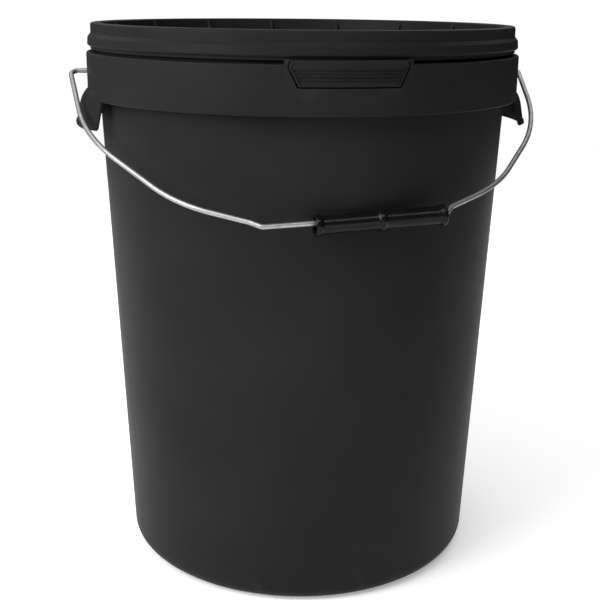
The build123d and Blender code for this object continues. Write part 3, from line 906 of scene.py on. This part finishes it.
class Shader:
    """A material's nodes, made and linked by short calls."""

    def __init__(self, name):
        self.material = bpy.data.materials.new(name)
        self.material.use_nodes = True
        self.nodes = self.material.node_tree.nodes
        self.links = self.material.node_tree.links
        self.bsdf = self.nodes["Principled BSDF"]
        self.place = self.nodes.new("ShaderNodeTexCoord").outputs["Object"]

    def put(self, socket, value):
        """Link an output to a socket, or set a plain value on it."""
        if isinstance(value, bpy.types.NodeSocket):
            self.links.new(value, socket)
        else:
            socket.default_value = value

    def stretched(self, scale):
        """Object coordinates scaled along each axis."""
        node = self.nodes.new("ShaderNodeMapping")
        self.put(node.inputs["Vector"], self.place)
        node.inputs["Scale"].default_value = scale
        return node.outputs["Vector"]

    def noise(self, scale, detail=4.0, rough=0.55, vector=None):
        """Noise from 0 to 1; scale is in cycles per metre."""
        node = self.nodes.new("ShaderNodeTexNoise")
        self.put(node.inputs["Vector"], vector or self.place)
        node.inputs["Scale"].default_value = scale
        node.inputs["Detail"].default_value = detail
        node.inputs["Roughness"].default_value = rough
        return node.outputs["Fac"]

    def range(self, value, low, high, to_low, to_high):
        """Value moved from low..high to to_low..to_high, clamped."""
        node = self.nodes.new("ShaderNodeMapRange")
        self.put(node.inputs["Value"], value)
        for socket, number in zip(RANGE_SOCKETS, (low, high, to_low, to_high)):
            node.inputs[socket].default_value = number
        return node.outputs["Result"]

    def math(self, operation, a, b):
        """One sum of two values."""
        node = self.nodes.new("ShaderNodeMath")
        node.operation = operation
        self.put(node.inputs[0], a)
        self.put(node.inputs[1], b)
        return node.outputs["Value"]

    def mix(self, share, a, b):
        """Colour between a and b."""
        node = self.nodes.new("ShaderNodeMix")
        node.data_type = "RGBA"
        self.put(node.inputs["Factor"], share)
        self.put(node.inputs[6], a)
        self.put(node.inputs[7], b)
        return node.outputs[2]

    def bump(self, height, distance, strength, normal=None):
        """Normal bent by a height; distance is in metres."""
        node = self.nodes.new("ShaderNodeBump")
        self.put(node.inputs["Height"], height)
        node.inputs["Distance"].default_value = distance
        node.inputs["Strength"].default_value = strength
        if normal:
            self.put(node.inputs["Normal"], normal)
        return node.outputs["Normal"]

    def edges(self):
        """About 1 on convex edges and 0 elsewhere."""
        point = self.nodes.new("ShaderNodeNewGeometry").outputs["Pointiness"]
        return self.range(point, 0.52, 0.60, 0.0, 1.0)

    def height(self):
        """Height above the ground, in metres."""
        node = self.nodes.new("ShaderNodeSeparateXYZ")
        self.put(node.inputs["Vector"], self.place)
        return node.outputs["Z"]


def grey(value):
    """Neutral colour."""
    return (value, value, value, 1)


def moulded_plastic(name, tone, roughness):
    """Satin black polypropylene: faint mottling, fine grain, handling marks and worn edges."""
    s = Shader(name)
    mottle = s.range(s.noise(9, 5), 0.3, 0.7, 0.0, 1.0)
    base = s.mix(mottle, grey(tone * 0.86), grey(tone * 1.17))
    scuff_noise = s.noise(60, 6, 0.7, s.stretched((1, 1, 0.35)))
    foot = s.range(s.height(), 0.0, 0.03, 1.0, 0.0)
    scuff = s.math("MULTIPLY", s.range(scuff_noise, 0.55, 0.75, 0.0, 1.0), foot)
    wear = s.math("MULTIPLY", s.edges(), s.range(s.noise(120, 4), 0.4, 0.65, 0.0, 1.0))
    marks = s.math("MAXIMUM", s.math("MULTIPLY", scuff, 0.6), s.math("MULTIPLY", wear, 0.35))
    s.put(s.bsdf.inputs["Base Color"], s.mix(marks, base, grey(tone * 3.2)))
    smears = s.range(s.noise(14, 6, 0.62, s.stretched((1, 1, 0.5))), 0.3, 0.72, -0.035, 0.045)
    grain = s.range(s.noise(900, 3), 0.3, 0.7, -0.02, 0.03)
    rough = s.math("ADD", s.math("ADD", smears, grain), roughness)
    s.put(s.bsdf.inputs["Roughness"], s.math("ADD", rough, s.math("MULTIPLY", marks, 0.2)))
    flow = s.noise(26, 3, 0.5, s.stretched((1, 1, 0.12)))
    normal = s.bump(flow, 0.0006, 0.16)
    normal = s.bump(s.noise(1400, 2), 0.00006, 0.35, normal)
    s.put(s.bsdf.inputs["Normal"], normal)
    s.bsdf.inputs["IOR"].default_value = 1.49
    s.bsdf.inputs["Specular IOR Level"].default_value = 0.05
    return s.material


def gloss_plastic(name, tone, roughness):
    """Glossy black polyethylene sleeve with fine drag lines and rubbed edges."""
    s = Shader(name)
    mottle = s.range(s.noise(40, 4), 0.3, 0.7, 0.0, 1.0)
    base = s.mix(mottle, grey(tone * 0.8), grey(tone * 1.25))
    wear = s.math("MULTIPLY", s.edges(), s.range(s.noise(300, 4), 0.42, 0.65, 0.0, 0.5))
    s.put(s.bsdf.inputs["Base Color"], s.mix(wear, base, grey(tone * 5)))
    smears = s.range(s.noise(70, 6, 0.62), 0.3, 0.72, -0.04, 0.06)
    s.put(s.bsdf.inputs["Roughness"], s.math("ADD", smears, roughness))
    drag = s.noise(120, 4, 0.6, s.stretched((0.15, 1, 1)))
    normal = s.bump(drag, 0.0003, 0.2)
    s.put(s.bsdf.inputs["Normal"], s.bump(s.noise(1800, 2), 0.00004, 0.25, normal))
    s.bsdf.inputs["IOR"].default_value = 1.5
    s.bsdf.inputs["Specular IOR Level"].default_value = 0.16
    return s.material


def rubber(name, tone, roughness):
    """Matt rubber with a dusty bloom."""
    s = Shader(name)
    bloom = s.range(s.noise(150, 5, 0.6), 0.35, 0.7, 0.0, 1.0)
    s.put(s.bsdf.inputs["Base Color"], s.mix(bloom, grey(tone * 0.85), grey(tone * 1.3)))
    s.put(s.bsdf.inputs["Roughness"], s.range(bloom, 0, 1, roughness - 0.06, roughness + 0.06))
    s.put(s.bsdf.inputs["Normal"], s.bump(s.noise(1600, 3), 0.00008, 0.4))
    s.bsdf.inputs["IOR"].default_value = 1.52
    return s.material


def zinc_wire(name):
    """Bright galvanised wire: uneven zinc, fine bumps and dull spots."""
    s = Shader(name)
    patches = s.range(s.noise(180, 5, 0.6), 0.3, 0.7, 0.0, 1.0)
    spots = s.range(s.noise(700, 4, 0.65), 0.6, 0.75, 0.0, 0.5)
    bright = s.mix(patches, (0.36, 0.365, 0.37, 1), (0.48, 0.48, 0.48, 1))
    s.put(s.bsdf.inputs["Base Color"], s.mix(spots, bright, (0.24, 0.24, 0.25, 1)))
    s.bsdf.inputs["Metallic"].default_value = 1.0
    s.bsdf.inputs["Specular Tint"].default_value = grey(0.25)
    rough = s.range(patches, 0, 1, 0.52, 0.42)
    s.put(s.bsdf.inputs["Roughness"], s.math("ADD", rough, s.math("MULTIPLY", spots, 0.2)))
    normal = s.bump(s.noise(420, 4, 0.55), 0.00012, 0.3)
    s.put(s.bsdf.inputs["Normal"], s.bump(s.noise(2400, 2), 0.00003, 0.3, normal))
    return s.material


def floor_material():
    """Plain pale matt floor that glows a little, like a light table."""
    s = Shader("floor_paint")
    tint = s.range(s.noise(3, 3), 0.3, 0.7, 0.0, 1.0)
    s.put(s.bsdf.inputs["Base Color"], s.mix(tint, grey(0.91), grey(0.94)))
    s.put(s.bsdf.inputs["Roughness"], s.range(s.noise(40, 3), 0.3, 0.7, 0.8, 0.9))
    s.bsdf.inputs["Emission Color"].default_value = grey(1.0)
    s.bsdf.inputs["Emission Strength"].default_value = 0.34
    return s.material


# ---------------------------------------------------------------- stage


def make_floor():
    """Round level floor under the bucket."""
    turns = [TURN * k / FLOOR_SEGMENTS for k in range(FLOOR_SEGMENTS)]
    points = [(0, 0, 0)]
    points += [(FLOOR_RADIUS * cos(turn), FLOOR_RADIUS * sin(turn), 0) for turn in turns]
    faces = [(0, k + 1, (k + 1) % FLOOR_SEGMENTS + 1) for k in range(FLOOR_SEGMENTS)]
    floor = mesh_object("floor", points, faces)
    floor.data.materials.append(floor_material())


def area_light(name, at, aim, size, power):
    """Soft rectangular light at a point, turned towards another."""
    data = bpy.data.lights.new(name, "AREA")
    data.shape = "RECTANGLE"
    data.size, data.size_y = size
    data.energy = power
    light = bpy.data.objects.new(name, data)
    bpy.context.scene.collection.objects.link(light)
    light.location = at
    light.rotation_mode = "QUATERNION"
    light.rotation_quaternion = (Vector(aim) - Vector(at)).to_track_quat("-Z", "Y")
    return light


def make_world():
    """White backdrop to the eye, and a dim room, lighter on the left, to everything else."""
    world = bpy.data.worlds.new("studio")
    world.use_nodes = True
    bpy.context.scene.world = world
    nodes = world.node_tree.nodes
    links = world.node_tree.links
    background = nodes["Background"]
    split = nodes.new("ShaderNodeSeparateXYZ")
    links.new(nodes.new("ShaderNodeTexCoord").outputs["Generated"], split.inputs["Vector"])
    room = nodes.new("ShaderNodeMapRange")
    for socket, number in zip(RANGE_SOCKETS, ROOM):
        room.inputs[socket].default_value = number
    links.new(split.outputs["X"], room.inputs["Value"])
    pick = nodes.new("ShaderNodeMix")
    pick.inputs["B"].default_value = 1.0
    links.new(nodes.new("ShaderNodeLightPath").outputs["Is Camera Ray"], pick.inputs["Factor"])
    links.new(room.outputs["Result"], pick.inputs["A"])
    links.new(pick.outputs["Result"], background.inputs["Strength"])
    background.inputs["Color"].default_value = grey(1.0)


def make_camera():
    """Camera at the viewing angle of a person standing in front and a little left."""
    data = bpy.data.cameras.new("camera")
    data.lens = LENS
    data.sensor_width = SENSOR
    data.clip_end = 100
    camera = bpy.data.objects.new("camera", data)
    bpy.context.scene.collection.objects.link(camera)
    camera.location = CAMERA_AT
    heading = atan2(CAMERA_AT[0], -CAMERA_AT[1])
    turn = Matrix.Rotation(heading, 4, "Z") @ Matrix.Rotation(radians(90 + CAMERA_PITCH), 4, "X")
    camera.rotation_mode = "QUATERNION"
    camera.rotation_quaternion = (turn @ Matrix.Rotation(radians(CAMERA_ROLL), 4, "Z")).to_quaternion()
    bpy.context.scene.camera = camera


pail_plastic = moulded_plastic("pail_plastic", 0.0155, 0.45)
lid_plastic = moulded_plastic("lid_plastic", 0.0148, 0.45)
make_pail(pail_plastic)
make_tab(pail_plastic)
make_lid(lid_plastic)
make_grommet(rubber("grommet_rubber", 0.03, 0.62))
make_wire(zinc_wire("galvanised_wire"))
make_grip(gloss_plastic("grip_plastic", 0.005, 0.26))

seal = frame["nodes"]["lid_seal"]
seal.data.materials.clear()
seal.data.materials.append(rubber("seal_rubber", 0.33, 0.7))

make_floor()
make_world()
make_camera()
bpy.context.scene.view_settings.view_transform = "Standard"
for light_name, (at, aim, size, power) in LIGHTS.items():
    area_light(light_name, at, aim, size, power)
